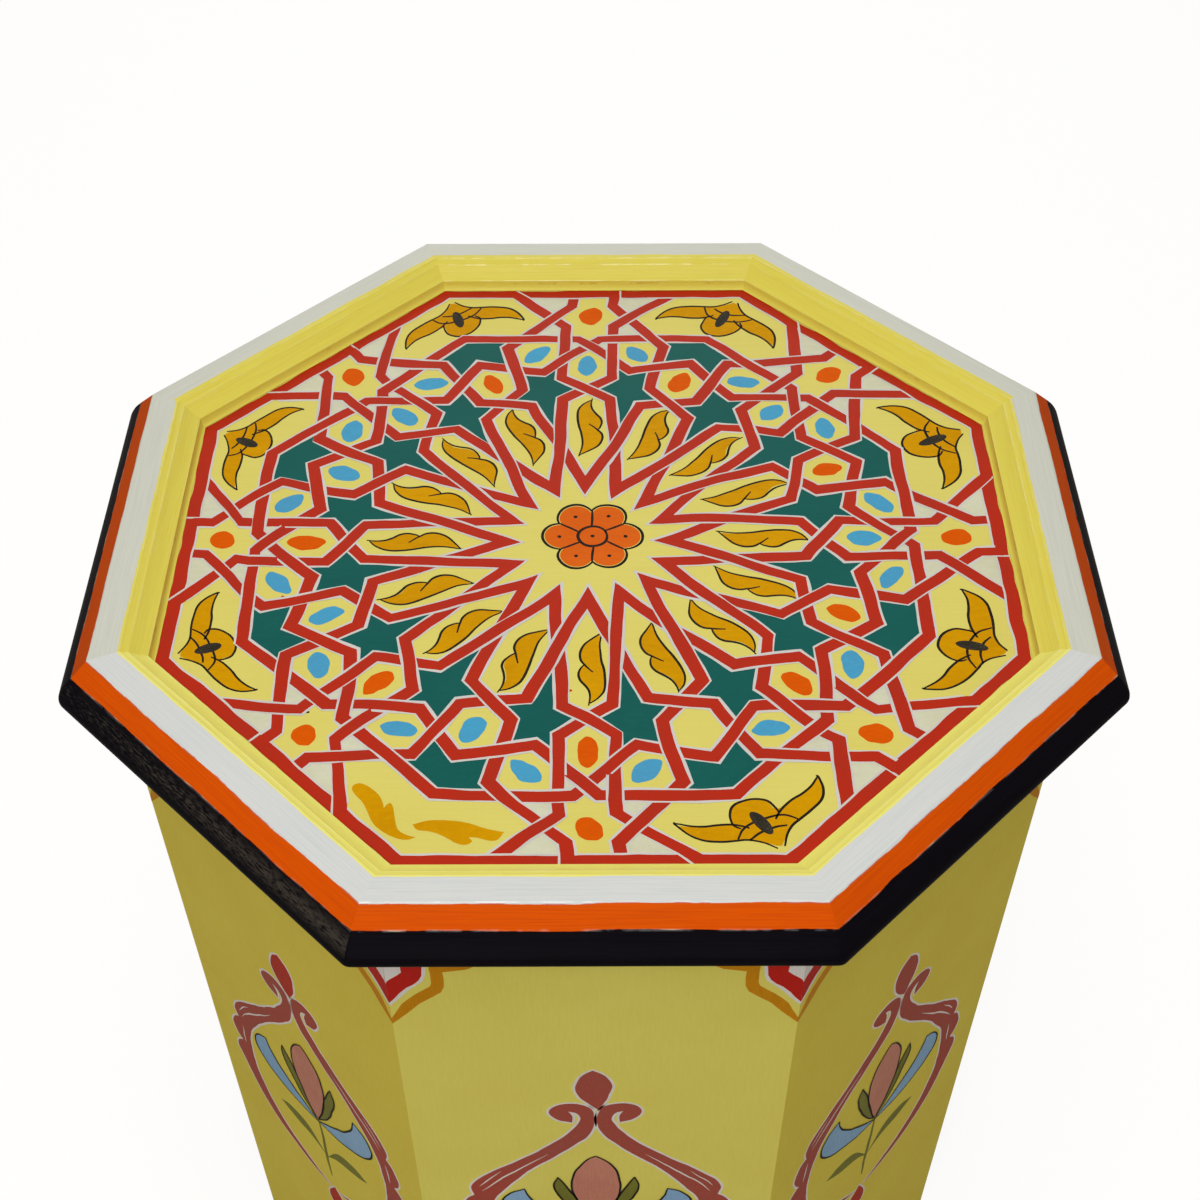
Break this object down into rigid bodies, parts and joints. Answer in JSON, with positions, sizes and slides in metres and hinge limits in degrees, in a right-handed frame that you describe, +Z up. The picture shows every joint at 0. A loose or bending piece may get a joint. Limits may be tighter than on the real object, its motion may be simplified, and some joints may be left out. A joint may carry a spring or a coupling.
{
  "type": "side table",
  "caption": "Octagonal painted side table: a board sunk in a mitred moulded rim, on a hollow body of bevelled upright panels with a cusped arch at the foot.",
  "frame": {"origin": "on the floor, under the middle of the table", "axes": "+Z up along the table's axis, -Y out of the front side, +X to the right"},
  "size_m": [0.4574, 0.4574, 0.52],
  "materials": {
    "board_paint": "hand-painted enamel on a wooden board, yellow ground",
    "rim_paint": "hand-painted enamel on moulded wood in bands of yellow, white, orange and black",
    "body_paint": "hand-painted satin enamel on wooden panels, yellow ground",
    "bare_wood": "bare sawn softwood",
    "screw_steel": "zinc plated"
  },
  "bodies": {
    "root": {"top_panel": "board_paint", "rim_moulding_1": "rim_paint", "rim_moulding_2": "rim_paint", "rim_moulding_3": "rim_paint", "rim_moulding_4": "rim_paint", "rim_moulding_5": "rim_paint", "rim_moulding_6": "rim_paint", "rim_moulding_7": "rim_paint", "rim_moulding_8": "rim_paint", "side_panel_1": "body_paint", "side_panel_2": "body_paint", "side_panel_3": "body_paint", "side_panel_4": "body_paint", "side_panel_5": "body_paint", "side_panel_6": "body_paint", "side_panel_7": "body_paint", "side_panel_8": "body_paint", "corner_block_1": "bare_wood", "corner_block_2": "bare_wood", "corner_block_3": "bare_wood", "corner_block_4": "bare_wood", "corner_block_5": "bare_wood", "corner_block_6": "bare_wood", "corner_block_7": "bare_wood", "corner_block_8": "bare_wood", "top_cleat_1": "bare_wood", "top_cleat_2": "bare_wood", "top_cleat_3": "bare_wood", "top_cleat_4": "bare_wood", "top_cleat_5": "bare_wood", "top_cleat_6": "bare_wood", "top_cleat_7": "bare_wood", "top_cleat_8": "bare_wood", "top_screw_1": "screw_steel", "top_screw_2": "screw_steel", "top_screw_3": "screw_steel", "top_screw_4": "screw_steel", "top_screw_5": "screw_steel", "top_screw_6": "screw_steel", "top_screw_7": "screw_steel", "top_screw_8": "screw_steel"}
  },
  "joints": []
}
